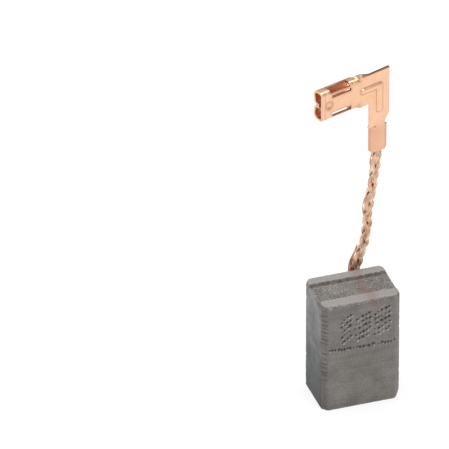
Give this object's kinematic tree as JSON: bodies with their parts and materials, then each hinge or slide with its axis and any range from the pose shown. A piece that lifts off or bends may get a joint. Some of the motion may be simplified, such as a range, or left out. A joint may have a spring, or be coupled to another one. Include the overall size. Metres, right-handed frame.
{
  "type": "carbon brush",
  "caption": "Motor carbon brush: a chamfered carbon block with a spring groove, a braided copper shunt and a folded flag receptacle for a blade.",
  "frame": {"origin": "centre of the wear face, which the brush stands on", "axes": "+Z along the carbon from the wear face to the spring end, +X across its wide faces towards the side that the braid leaves from, +Y through its thickness to the face that the braid leaves"},
  "size_m": [0.0098, 0.0081, 0.0383],
  "materials": {
    "carbon": "pressed and ground carbon-graphite, dull grey",
    "copper_powder": "tamped copper powder, dull red-brown",
    "copper_braid": "bare plaited copper wire",
    "copper_sheet": "bare rolled copper-alloy sheet, satin"
  },
  "bodies": {
    "root": {"carbon_block": "carbon", "tamping_plug": "copper_powder", "shunt": "copper_braid", "terminal": "copper_sheet"}
  },
  "joints": []
}
